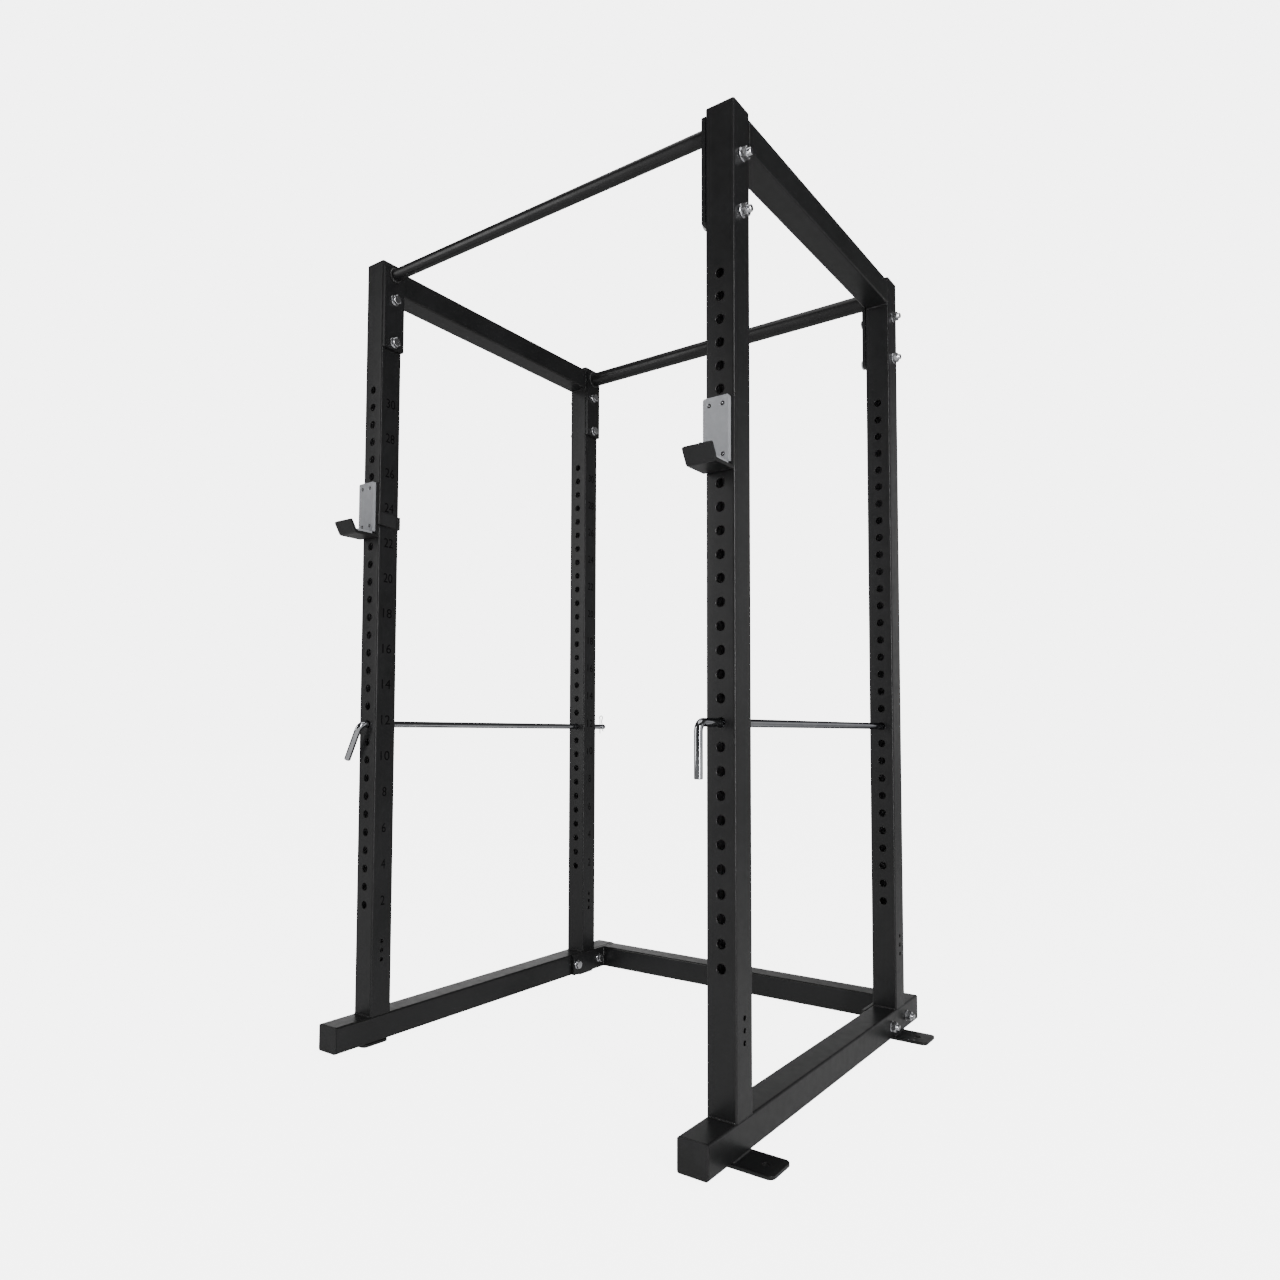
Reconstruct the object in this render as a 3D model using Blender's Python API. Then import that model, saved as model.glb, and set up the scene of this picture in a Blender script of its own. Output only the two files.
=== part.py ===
"""Power cage: a free-standing square-tube rack with two pull-up bars, two safety rods and two J-hooks.

Frame: metres, +X to the right seen from the front, +Y to the rear, +Z up.
Origin: on the floor, at the middle of the footprint.
"""
import math

import bmesh
import bpy
from mathutils import Matrix, Vector

# ---------------------------------------------------------------- driving dimensions
GAP = 0.0003                  # clearance between two pieces that touch

TUBE = 0.070                  # outside of every square tube
WALL = 0.003
TUBE_CORNER = 0.005           # outer corner radius of the tube
CUT_LENGTH = 0.098            # length of a hole cutter through a tube, past both faces

HEIGHT = 2.200                # floor to the top of the upright caps
UPRIGHT_X = 0.565             # centre plane of each side frame
UPRIGHT_Y = 0.465             # centre of the front (-) and rear (+) uprights
RUNNER_OVERHANG = 0.108       # runner tube past the uprights, front and rear
CAP_HEAD = 0.005              # visible thickness of a plastic end cap
CAP_PLUG = 0.020              # depth of its plug inside the tube
CAP_RIM = 0.0015              # softened edge of its head

TAB_THICK = 0.008             # anchor tab under the runner
TAB_REACH = 0.088             # past the runner's outer face
TAB_WIDTH = 0.086
TAB_SHIFT = -0.012            # tab centre, towards the front from the upright's centre
TAB_CORNER = 0.014
TAB_HOLE = 0.013
TAB_HOLE_REACH = 0.052        # hole centre past the runner's outer face

HOLE_COUNT = 30               # pin holes through each upright, front to back
HOLE_PITCH = 0.050
HOLE_DIAMETER = 0.021
FIRST_HOLE = 0.300            # above the runner
SIDE_HOLE_COUNT = 3           # small holes through the upright, side to side
SIDE_HOLE_PITCH = 0.025
SIDE_HOLE_DROP = 0.100        # highest small hole below the lowest pin hole
SIDE_HOLE_DIAMETER = 0.011

RAIL_DROP = 0.011             # top rail below the top of the caps

PLATE_LENGTH = 0.240          # bolted end plate of a pull-up bar or of the rear crossmember
PLATE_THICK = 0.010
PLATE_CORNER = 0.005
PLATE_DROP = 0.014            # pull-up bar plate below the top of the caps
BOLT_INSET = 0.020            # first bolt from the plate's free end
BOLT_SPACING = 0.124
BAR_DIAMETER = {"front": 0.033, "rear": 0.048}
BAR_INSET = {"front": 0.023, "rear": 0.028}    # bar centre below the plate's top
BAR_WALL = 0.003

BOLT_DIAMETER = 0.016
BOLT_HOLE = 0.017
HEX_FLATS = 0.024
HEAD_HEIGHT = 0.010
NUT_HEIGHT = 0.013
THREAD_END = 0.008            # bolt past its nut
THREAD_CHAMFER = 0.0015
WASHER_DIAMETER = 0.030
WASHER_THICK = 0.0025

ROD_HOLE_NUMBER = 11          # pin hole that the safety rods pass through, from the bottom
ROD_DIAMETER = 0.018
ROD_LENGTH = 1.119            # handle centre to rear end
ROD_HANDLE = 0.113            # rod axis to the handle's tip
ROD_BEND = 0.018              # centre-line radius of the bend
LEFT_ROD_STANDOFF = 0.025     # handle centre in front of the upright, rod pushed in
RIGHT_ROD_STANDOFF = 0.088    # the right rod is pulled forwards
LEFT_ROD_SWING = math.radians(28)

CLIP_WIRE = 0.003
CLIP_INSET = 0.023            # clip from the rod's rear end
CLIP_HOLE = 0.004
CLIP_LEG = 0.025              # straight leg below the rod axis
CLIP_RING_RADIUS = 0.007
CLIP_RING_HEIGHT = 0.0335     # ring centre above the rod axis
CLIP_RING_OFFSET = 0.005      # ring centre beside the straight leg

HOOK_HOLE_NUMBER = 24         # pin hole that holds each J-hook, from the bottom
HOOK_WIDTH = 0.070
HOOK_THICK = 0.008
HOOK_ABOVE_PIN = 0.028        # top of the back plate above the pin
HOOK_BELOW_PIN = 0.128        # underside of the shelf below the pin
HOOK_SHELF = 0.078            # upright face to the outside of the front bend
LIP_RISE = 0.034              # front lip, from the underside of the shelf to its top
LIP_REACH = 0.019             # lip top past the front bend
HOOK_BEND = 0.010             # outer radius of both bends
HOOK_PIN_DIAMETER = 0.018
HOOK_PIN_LENGTH = 0.055
LINER_WIDTH = 0.062
LINER_THICK = 0.010
LINER_LENGTH = 0.140
LINER_CORNER = 0.005          # rounding of its top corners
PAD_THICK = 0.006             # liner on the shelf
PAD_START = 0.019             # pad, from the upright's face forwards
PAD_END = 0.068
STRAP_THICK = 0.006
STRAP_CORNER = 0.002          # flat on the strap's outer bend
STRAP_HEIGHT = 0.036
STRAP_DROP = 0.0755           # strap centre below the pin
STRAP_RETURN = 0.028          # strap's lip behind the upright

CORNER_POINTS = 3             # points round a tube corner
TAB_POINTS = 5                # points round a tab corner
BEND_STEPS = 3                # facets round a bend of a hook plate
ROUND = 12                    # facets round a bolt or a pin
BAR_FACETS = 24
HOLE_FACETS = 8

# ---------------------------------------------------------------- derived heights and planes
RUNNER_BOTTOM = TAB_THICK
RUNNER_TOP = RUNNER_BOTTOM + TUBE
UPRIGHT_TOP = HEIGHT - CAP_HEAD
FRONT_FACE = -(UPRIGHT_Y + TUBE / 2)
RUNNER_END = UPRIGHT_Y + TUBE / 2 + RUNNER_OVERHANG
INNER_FACE = UPRIGHT_X - TUBE / 2
PLATE_TOP = HEIGHT - PLATE_DROP
PLATE_BOTTOM = PLATE_TOP - PLATE_LENGTH
PLATE_FACE = INNER_FACE - PLATE_THICK
BOLT_HEIGHTS = [PLATE_BOTTOM + BOLT_INSET + i * BOLT_SPACING for i in range(2)]
FLANGE_FRONT = RUNNER_END - PLATE_LENGTH
FLANGE_BOLTS = [FLANGE_FRONT + BOLT_INSET + i * BOLT_SPACING for i in range(2)]
RUNNER_CENTRE = RUNNER_BOTTOM + TUBE / 2
CROSSMEMBER_Y = RUNNER_END - TUBE / 2
SIDES = {"left": -1, "right": 1}
ENDS = {"front": -1, "rear": 1}

# ---------------------------------------------------------------- finishes: colour, roughness, metallic
BLACK_COAT = ((0.022, 0.022, 0.023), 0.45, 0.0)
ZINC = ((0.72, 0.72, 0.74), 0.28, 1.0)
CHROME = ((0.80, 0.80, 0.82), 0.10, 1.0)
BLACK_PLASTIC = ((0.018, 0.018, 0.018), 0.55, 0.0)
GREY_PLASTIC = ((0.46, 0.47, 0.49), 0.50, 0.0)


def hole_height(number):
    """Centre height of a pin hole, counted from the bottom."""
    return RUNNER_TOP + FIRST_HOLE + (number - 1) * HOLE_PITCH


def finish(obj, look):
    """Give the object its own Principled material."""
    colour, roughness, metallic = look
    mat = bpy.data.materials.new(obj.name)
    mat.use_nodes = True
    shader = mat.node_tree.nodes["Principled BSDF"]
    shader.inputs["Base Color"].default_value = (*colour, 1.0)
    shader.inputs["Roughness"].default_value = roughness
    shader.inputs["Metallic"].default_value = metallic
    obj.data.materials.clear()
    obj.data.materials.append(mat)


def add_object(name, bm, look, location=(0, 0, 0), parent=None):
    """Turn a bmesh into a named, finished object."""
    bmesh.ops.recalc_face_normals(bm, faces=bm.faces)
    mesh = bpy.data.meshes.new(name)
    bm.to_mesh(mesh)
    bm.free()
    mesh.shade_smooth()
    mesh.set_sharp_from_angle(angle=math.radians(35))
    obj = bpy.data.objects.new(name, mesh)
    bpy.context.scene.collection.objects.link(obj)
    obj.location = location
    obj.parent = parent
    finish(obj, look)
    return obj


def add_empty(name, location, parent=None):
    """A pivot that moving pieces hang from."""
    obj = bpy.data.objects.new(name, None)
    obj.empty_display_size = 0.05
    bpy.context.scene.collection.objects.link(obj)
    obj.location = location
    obj.parent = parent
    return obj


# ---------------------------------------------------------------- outlines
def rounded_square(half_u, half_v, radius, steps=CORNER_POINTS):
    """Corner points of a rounded rectangle, counter-clockwise."""
    points = []
    for quarter in range(4):
        turn = quarter * math.pi / 2
        su = 1 if quarter in (0, 3) else -1
        sv = 1 if quarter in (0, 1) else -1
        centre = (su * (half_u - radius), sv * (half_v - radius))
        for i in range(steps):
            angle = turn + i / (steps - 1) * math.pi / 2
            points.append((centre[0] + radius * math.cos(angle), centre[1] + radius * math.sin(angle)))
    return points


def circle(radius, count=ROUND, around=False):
    """A regular polygon inside the circle, or around it for a hole."""
    if around:
        radius = radius / math.cos(math.pi / count)
    step = 2 * math.pi / count
    return [(radius * math.cos((i + 0.5) * step), radius * math.sin((i + 0.5) * step)) for i in range(count)]


def hexagon(across_flats, count=ROUND):
    """A hexagon with a point in the middle of each flat, so that it lofts onto a circle."""
    flat = across_flats / 2
    corner = flat / math.cos(math.pi / 6)
    step = 2 * math.pi / count
    radii = [corner if i % 2 == 0 else flat for i in range(count)]
    return [(r * math.cos((i + 0.5) * step), r * math.sin((i + 0.5) * step)) for i, r in enumerate(radii)]


# ---------------------------------------------------------------- solids
def along_z(points, height):
    return [Vector((u, v, height)) for u, v in points]


def ring_of(bm, loop):
    return [bm.verts.new(point) for point in loop]


def bridge(bm, low, high):
    for i, vert in enumerate(low):
        j = (i + 1) % len(low)
        bm.faces.new((vert, low[j], high[j], high[i]))


def loft(sections):
    """A closed solid through a stack of (outline, height) sections."""
    bm = bmesh.new()
    rings = [ring_of(bm, along_z(outline, height)) for outline, height in sections]
    for low, high in zip(rings, rings[1:]):
        bridge(bm, low, high)
    bm.faces.new(list(reversed(rings[0])))
    bm.faces.new(rings[-1])
    return bm


def hollow(outer, inner, low, high):
    """A tube with open ends between two heights."""
    bm = bmesh.new()
    rings = [ring_of(bm, along_z(outline, height)) for outline, height in
             ((outer, low), (outer, high), (inner, high), (inner, low))]
    for first, second in zip(rings, rings[1:] + rings[:1]):
        bridge(bm, first, second)
    return bm


def square_tube(low, high):
    inner_half = TUBE / 2 - WALL
    outer = rounded_square(TUBE / 2, TUBE / 2, TUBE_CORNER)
    inner = rounded_square(inner_half, inner_half, TUBE_CORNER - WALL)
    return hollow(outer, inner, low, high)


def rotate(bm, angle, axis):
    bmesh.ops.rotate(bm, verts=bm.verts, cent=(0, 0, 0), matrix=Matrix.Rotation(angle, 3, axis))


def turned(bm, axis):
    """Point a solid made along Z along the named axis."""
    if axis == "X":
        rotate(bm, math.pi / 2, "Y")
    elif axis == "Y":
        rotate(bm, -math.pi / 2, "X")
    return bm


def add_prism(bm, diameter, axis, centre, length, facets):
    """Add one hole-cutting prism, centred on a point."""
    outline = circle(diameter / 2, facets, around=True)
    prism = turned(loft([(outline, -length / 2), (outline, length / 2)]), axis)
    bmesh.ops.translate(prism, verts=prism.verts, vec=centre)
    scratch = bpy.data.meshes.new("prism")
    prism.to_mesh(scratch)
    prism.free()
    bm.from_mesh(scratch)
    bpy.data.meshes.remove(scratch)


def drill(obj, holes):
    """Cut holes given as (diameter, axis, centre, length, facets) in the object's own frame."""
    bm = bmesh.new()
    for hole in holes:
        add_prism(bm, *hole)
    bmesh.ops.recalc_face_normals(bm, faces=bm.faces)
    mesh = bpy.data.meshes.new(obj.name + "_holes")
    bm.to_mesh(mesh)
    bm.free()
    cutter = bpy.data.objects.new(obj.name + "_holes", mesh)
    bpy.context.scene.collection.objects.link(cutter)
    cutter.parent = obj
    cutter.hide_render = True
    cutter.display_type = "WIRE"
    boolean = obj.modifiers.new("holes", "BOOLEAN")
    boolean.operation = "DIFFERENCE"
    boolean.object = cutter


def add_wire(name, points, radius, resolution, look, location, parent):
    """A round bar that follows points, made as a bevelled curve and turned into a mesh."""
    curve = bpy.data.curves.new(name, "CURVE")
    curve.dimensions = "3D"
    curve.bevel_depth = radius
    curve.bevel_resolution = resolution
    curve.render_resolution_u = 0
    curve.use_fill_caps = True
    spline = curve.splines.new("POLY")
    spline.points.add(len(points) - 1)
    for slot, point in zip(spline.points, points):
        slot.co = (*point, 1.0)
    guide = bpy.data.objects.new(name + "_path", curve)
    mesh = bpy.data.meshes.new_from_object(guide)
    bpy.data.objects.remove(guide)
    bm = bmesh.new()
    bm.from_mesh(mesh)
    bmesh.ops.remove_doubles(bm, verts=bm.verts, dist=1e-6)
    bpy.data.meshes.remove(mesh)
    return add_object(name, bm, look, location, parent)


def arc(centre, radius, start, end, steps):
    """Points on an arc, angles in radians."""
    return [(centre[0] + radius * math.cos(start + (end - start) * i / steps),
             centre[1] + radius * math.sin(start + (end - start) * i / steps)) for i in range(steps + 1)]


# ---------------------------------------------------------------- welded side frames
def make_upright(name, x, y):
    bm = square_tube(RUNNER_TOP + GAP, UPRIGHT_TOP)
    obj = add_object(name, bm, BLACK_COAT, (x, y, 0))
    holes = []
    for number in range(1, HOLE_COUNT + 1):
        holes.append((HOLE_DIAMETER, "Y", (0, 0, hole_height(number)), CUT_LENGTH, HOLE_FACETS))
    highest = hole_height(1) - SIDE_HOLE_DROP
    for n in range(SIDE_HOLE_COUNT):
        centre = (0, 0, highest - n * SIDE_HOLE_PITCH)
        holes.append((SIDE_HOLE_DIAMETER, "X", centre, CUT_LENGTH, HOLE_FACETS))
    for height in BOLT_HEIGHTS:
        holes.append((BOLT_HOLE, "X", (0, 0, height), CUT_LENGTH, HOLE_FACETS))
    drill(obj, holes)


def make_runner(name, x):
    bm = turned(square_tube(-RUNNER_END, RUNNER_END), "Y")
    obj = add_object(name, bm, BLACK_COAT, (x, 0, RUNNER_CENTRE))
    drill(obj, [(BOLT_HOLE, "X", (0, y, 0), CUT_LENGTH, HOLE_FACETS) for y in FLANGE_BOLTS])


def make_top_rail(name, x):
    reach = UPRIGHT_Y - TUBE / 2 - GAP
    bm = turned(square_tube(-reach, reach), "Y")
    add_object(name, bm, BLACK_COAT, (x, 0, HEIGHT - RAIL_DROP - TUBE / 2))


def cap_solid():
    """End cap, seated on Z = 0: a plug below, a head with a softened rim above."""
    plug = rounded_square(TUBE / 2 - WALL - GAP, TUBE / 2 - WALL - GAP, TUBE_CORNER - WALL)
    head = rounded_square(TUBE / 2, TUBE / 2, TUBE_CORNER)
    top = rounded_square(TUBE / 2 - CAP_RIM, TUBE / 2 - CAP_RIM, TUBE_CORNER - CAP_RIM)
    return loft([(plug, -CAP_PLUG), (plug, GAP), (head, GAP), (head, CAP_HEAD - CAP_RIM), (top, CAP_HEAD)])


def make_upright_cap(name, x, y):
    add_object(name, cap_solid(), BLACK_PLASTIC, (x, y, UPRIGHT_TOP))


def make_runner_cap(name, x, end):
    bm = turned(cap_solid(), "Y")
    if end < 0:
        rotate(bm, math.pi, "Z")
    add_object(name, bm, BLACK_PLASTIC, (x, end * RUNNER_END, RUNNER_CENTRE))


def make_anchor_tab(name, side, y):
    """Floor plate welded under the runner, with one bolt hole outside it."""
    half = (TUBE + TAB_REACH) / 2
    outline = rounded_square(half, TAB_WIDTH / 2, TAB_CORNER, TAB_POINTS)
    bm = loft([(outline, 0), (outline, TAB_THICK - GAP)])
    centre = side * (INNER_FACE + half)
    obj = add_object(name, bm, BLACK_COAT, (centre, y + TAB_SHIFT, 0))
    hole_x = side * (INNER_FACE + TUBE + TAB_HOLE_REACH) - centre
    drill(obj, [(TAB_HOLE, "Z", (hole_x, 0, TAB_THICK / 2), TAB_THICK * 3, ROUND)])


def make_side_frames():
    for side_name, side in SIDES.items():
        x = side * UPRIGHT_X
        make_runner(side_name + "_base_runner", x)
        make_top_rail(side_name + "_top_rail", x)
        for end_name, end in ENDS.items():
            place = side_name + "_" + end_name
            make_upright(place + "_upright", x, end * UPRIGHT_Y)
            make_upright_cap(place + "_upright_cap", x, end * UPRIGHT_Y)
            make_runner_cap(place + "_runner_cap", x, end)
            make_anchor_tab(place + "_anchor_tab", side, end * UPRIGHT_Y)


# ---------------------------------------------------------------- bolted cross pieces
def make_end_plate(name, location, along):
    """Plate on a side frame's inner face; its long side lies along Z or Y."""
    outline = rounded_square(TUBE / 2, PLATE_LENGTH / 2, PLATE_CORNER)
    bm = loft([(outline, -PLATE_THICK / 2), (outline, PLATE_THICK / 2 - GAP)])
    rotate(bm, math.pi / 2, "Y")
    offsets = [-PLATE_LENGTH / 2 + BOLT_INSET + i * BOLT_SPACING for i in range(2)]
    centres = [(0, offset, 0) for offset in offsets]
    if along == "Z":
        rotate(bm, math.pi / 2, "X")
        centres = [(0, 0, offset) for offset in offsets]
    if location[0] < 0:
        rotate(bm, math.pi, along)
    obj = add_object(name, bm, BLACK_COAT, location)
    drill(obj, [(BOLT_HOLE, "X", centre, PLATE_THICK * 3, HOLE_FACETS) for centre in centres])


def bolt_solid(grip):
    """Hex bolt through a grip along +Z, its washers and its nut as one fastened piece."""
    shank = circle(BOLT_DIAMETER / 2)
    washer = circle(WASHER_DIAMETER / 2)
    head = hexagon(HEX_FLATS)
    tip = circle(BOLT_DIAMETER / 2 - THREAD_CHAMFER)
    head_seat = -GAP - WASHER_THICK
    nut_seat = grip + GAP + WASHER_THICK
    nut_end = nut_seat + NUT_HEIGHT
    return loft([(head, head_seat - HEAD_HEIGHT), (head, head_seat),
                 (washer, head_seat), (washer, -GAP),
                 (shank, -GAP), (shank, grip + GAP),
                 (washer, grip + GAP), (washer, nut_seat),
                 (head, nut_seat), (head, nut_end),
                 (shank, nut_end), (shank, nut_end + THREAD_END - THREAD_CHAMFER),
                 (tip, nut_end + THREAD_END)])


def make_bolt(name, side, y, z):
    """Bolt with its head on the inner plate and its nut outside the side frame."""
    bm = turned(bolt_solid(PLATE_THICK + TUBE), "X")
    if side < 0:
        rotate(bm, math.pi, "Z")
    add_object(name, bm, ZINC, (side * PLATE_FACE, y, z))


def make_pull_up_bar(end_name, end):
    y = end * UPRIGHT_Y
    reach = PLATE_FACE - GAP
    radius = BAR_DIAMETER[end_name] / 2
    outside = circle(radius, BAR_FACETS)
    inside = circle(radius - BAR_WALL, BAR_FACETS)
    bar = turned(hollow(outside, inside, -reach, reach), "X")
    add_object(end_name + "_pull_up_bar", bar, BLACK_COAT, (0, y, PLATE_TOP - BAR_INSET[end_name]))
    for side_name, side in SIDES.items():
        stem = end_name + "_bar_" + side_name
        centre = (side * (PLATE_FACE + PLATE_THICK / 2), y, PLATE_TOP - PLATE_LENGTH / 2)
        make_end_plate(stem + "_plate", centre, "Z")
        for label, height in zip(("lower", "upper"), BOLT_HEIGHTS):
            make_bolt(stem + "_" + label + "_bolt", side, y, height)


def make_rear_crossmember():
    reach = PLATE_FACE - GAP
    bm = turned(square_tube(-reach, reach), "X")
    add_object("rear_crossmember", bm, BLACK_COAT, (0, CROSSMEMBER_Y, RUNNER_CENTRE))
    for side_name, side in SIDES.items():
        stem = "crossmember_" + side_name
        centre = (side * (PLATE_FACE + PLATE_THICK / 2), FLANGE_FRONT + PLATE_LENGTH / 2, RUNNER_CENTRE)
        make_end_plate(stem + "_plate", centre, "Y")
        for label, y in zip(("front", "rear"), FLANGE_BOLTS):
            make_bolt(stem + "_" + label + "_bolt", side, y, RUNNER_CENTRE)


# ---------------------------------------------------------------- safety rods and their clips
def rod_path(swing):
    """From the rear end forwards, round the bend and down the handle, which may be swung sideways."""
    points = [(0, ROD_LENGTH, 0)]
    for v, w in arc((ROD_BEND, -ROD_BEND), ROD_BEND, math.pi / 2, math.pi, 6):
        points.append((w * math.sin(swing), v, w * math.cos(swing)))
    points.append((-ROD_HANDLE * math.sin(swing), 0, -ROD_HANDLE * math.cos(swing)))
    return points


def clip_path():
    """R-clip in the plane across the rod: straight leg, ring, and the spring leg beside the rod."""
    lean = math.acos(CLIP_RING_OFFSET / CLIP_RING_RADIUS)
    ring = arc((CLIP_RING_OFFSET, CLIP_RING_HEIGHT), CLIP_RING_RADIUS, math.pi + lean, -lean, 12)
    beside = ROD_DIAMETER / 2 + CLIP_WIRE / 2 + 2 * GAP
    spring = [(beside - 0.0035, 0.019), (beside - 0.0030, 0.015), (beside, 0.007), (beside, -0.009),
              (beside + 0.0015, -0.013), (beside + 0.0040, -0.017)]
    return [(u, 0, w) for u, w in [(0, -CLIP_LEG)] + ring + spring]


def make_safety_rod(side_name, side, standoff, swing):
    centre = (side * UPRIGHT_X, FRONT_FACE - standoff, hole_height(ROD_HOLE_NUMBER))
    pivot = add_empty(side_name + "_rod_pivot", centre)
    rod = add_wire(side_name + "_safety_rod", rod_path(swing), ROD_DIAMETER / 2, 4, CHROME, (0, 0, 0), pivot)
    clip_y = ROD_LENGTH - CLIP_INSET
    drill(rod, [(CLIP_HOLE, "Z", (0, clip_y, 0), ROD_DIAMETER * 1.5, HOLE_FACETS)])
    add_wire(side_name + "_rod_clip", clip_path(), CLIP_WIRE / 2, 1, CHROME, (0, clip_y, 0), pivot)


# ---------------------------------------------------------------- J-hooks
def left_of(start, end, distance):
    """Step to the left of the way from start to end."""
    along = (end - start).normalized()
    return Vector((-along.y, along.x)) * distance


def strip_outline(corners, thickness, bend):
    """Outline of a strip that turns left at each of its outer corners; bend is the outer radius."""
    corners = [Vector(corner) for corner in corners]
    outer = [corners[0]]
    inner = [corners[0] + left_of(corners[0], corners[1], thickness)]
    for before, here, after in zip(corners, corners[1:], corners[2:]):
        to_before = (before - here).normalized()
        to_after = (after - here).normalized()
        half = to_before.angle(to_after) / 2
        centre = here + (to_before + to_after).normalized() * bend / math.sin(half)
        first_spoke = here + to_before * bend / math.tan(half) - centre
        for k in range(BEND_STEPS + 1):
            turn = (math.pi - 2 * half) * k / BEND_STEPS
            spoke = Matrix.Rotation(turn, 2) @ first_spoke
            outer.append(centre + spoke)
            inner.append(centre + spoke * (bend - thickness) / bend)
    outer.append(corners[-1])
    inner.append(corners[-1] + left_of(corners[-2], corners[-1], thickness))
    return outer + inner[::-1]


def hook_plate_solid():
    """Back plate, shelf and outward-leaning front lip, in the hook's own frame at the pin."""
    floor = -HOOK_BELOW_PIN
    corners = [(-GAP, HOOK_ABOVE_PIN), (-GAP, floor), (-HOOK_SHELF, floor),
               (-HOOK_SHELF - LIP_REACH, floor + LIP_RISE)]
    outline = strip_outline([(-v, w) for v, w in corners], HOOK_THICK, HOOK_BEND)
    bm = bmesh.new()
    sides = (-HOOK_WIDTH / 2, HOOK_WIDTH / 2)
    rings = [[bm.verts.new((x, -point.x, point.y)) for point in outline] for x in sides]
    bridge(bm, *rings)
    half = len(outline) // 2
    for ring in rings:
        for i in range(half - 1):
            bm.faces.new((ring[i], ring[i + 1], ring[-2 - i], ring[-1 - i]))
    return bm


def block(low, high):
    """A rectangular solid between two corners."""
    bm = bmesh.new()
    bmesh.ops.create_cube(bm, size=1.0)
    size = [b - a for a, b in zip(low, high)]
    middle = [(a + b) / 2 for a, b in zip(low, high)]
    bmesh.ops.scale(bm, verts=bm.verts, vec=size)
    bmesh.ops.translate(bm, verts=bm.verts, vec=middle)
    return bm


def spans_y(edge):
    return abs(edge.verts[0].co.y - edge.verts[1].co.y) > GAP


def strap_solid(inner):
    """Flat bar along the upright's inner face that turns in behind its rear face."""
    near = TUBE / 2 + GAP
    far = near + STRAP_THICK
    rear = TUBE + GAP
    outline = [(near, -HOOK_THICK), (far, -HOOK_THICK), (far, rear + STRAP_THICK - STRAP_CORNER),
               (far - STRAP_CORNER, rear + STRAP_THICK), (far - STRAP_RETURN, rear + STRAP_THICK),
               (far - STRAP_RETURN, rear), (near, rear)]
    low, high = (-STRAP_DROP - STRAP_HEIGHT / 2, -STRAP_DROP + STRAP_HEIGHT / 2)
    bm = bmesh.new()
    rings = [[bm.verts.new((inner * u, v, w)) for u, v in outline] for w in (low, high)]
    bridge(bm, *rings)
    for ring in rings:
        for quad in ((0, 1, 2, 6), (2, 3, 5, 6), (3, 4, 5)):
            bm.faces.new([ring[i] for i in quad])
    return bm


def make_hook(side_name, side):
    centre = (side * UPRIGHT_X, FRONT_FACE, hole_height(HOOK_HOLE_NUMBER))
    pivot = add_empty(side_name + "_hook_pivot", centre)
    stem = side_name + "_hook_"
    add_object(stem + "plate", hook_plate_solid(), BLACK_COAT, parent=pivot)
    add_object(stem + "strap", strap_solid(-side), BLACK_COAT, parent=pivot)
    pin = circle(HOOK_PIN_DIAMETER / 2)
    add_object(stem + "pin", turned(loft([(pin, 0), (pin, HOOK_PIN_LENGTH)]), "Y"), ZINC, parent=pivot)
    liner_face = HOOK_THICK + 2 * GAP
    liner = block((-LINER_WIDTH / 2, -liner_face - LINER_THICK, HOOK_ABOVE_PIN - LINER_LENGTH),
                  (LINER_WIDTH / 2, -liner_face, HOOK_ABOVE_PIN))
    top_corners = [e for e in liner.edges if all(v.co.z > 0 for v in e.verts) and spans_y(e)]
    bmesh.ops.bevel(liner, geom=top_corners, offset=LINER_CORNER, segments=2, profile=0.5, affect="EDGES")
    add_object(stem + "liner", liner, GREY_PLASTIC, parent=pivot)
    shelf_top = -HOOK_BELOW_PIN + HOOK_THICK + GAP
    pad = block((-LINER_WIDTH / 2, -PAD_END, shelf_top),
                (LINER_WIDTH / 2, -PAD_START, shelf_top + PAD_THICK))
    add_object(stem + "pad", pad, GREY_PLASTIC, parent=pivot)


# ---------------------------------------------------------------- the cage
def main():
    for obj in list(bpy.data.objects):
        bpy.data.objects.remove(obj)
    make_side_frames()
    for end_name, end in ENDS.items():
        make_pull_up_bar(end_name, end)
    make_rear_crossmember()
    make_safety_rod("left", -1, LEFT_ROD_STANDOFF, LEFT_ROD_SWING)
    make_safety_rod("right", 1, RIGHT_ROD_STANDOFF, 0.0)
    for side_name, side in SIDES.items():
        make_hook(side_name, side)


main()
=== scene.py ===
import math

import bmesh
import bpy
from mathutils import Matrix, Vector


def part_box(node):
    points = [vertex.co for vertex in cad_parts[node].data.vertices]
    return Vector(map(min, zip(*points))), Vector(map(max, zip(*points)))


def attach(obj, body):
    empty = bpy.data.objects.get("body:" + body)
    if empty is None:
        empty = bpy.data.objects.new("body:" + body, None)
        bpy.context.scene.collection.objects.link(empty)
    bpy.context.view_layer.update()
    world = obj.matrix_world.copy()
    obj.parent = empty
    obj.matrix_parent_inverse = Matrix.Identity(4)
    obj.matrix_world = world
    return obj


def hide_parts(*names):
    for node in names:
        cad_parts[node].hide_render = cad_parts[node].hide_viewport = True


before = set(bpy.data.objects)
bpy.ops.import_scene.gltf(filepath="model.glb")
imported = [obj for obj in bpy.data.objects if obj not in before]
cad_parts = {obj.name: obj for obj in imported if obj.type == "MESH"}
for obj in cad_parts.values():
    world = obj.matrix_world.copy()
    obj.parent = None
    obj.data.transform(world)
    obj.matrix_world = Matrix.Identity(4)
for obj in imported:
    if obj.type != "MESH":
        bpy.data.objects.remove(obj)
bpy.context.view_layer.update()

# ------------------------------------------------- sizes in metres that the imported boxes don't give
GAP = 0.0003                  # between pieces that meet
TUBE = 0.070
CORNER = 0.005
WALL = 0.003
EDGE = 0.0006                 # eased edge of a cut or a bend
PLATE_EDGE = 0.001
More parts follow.
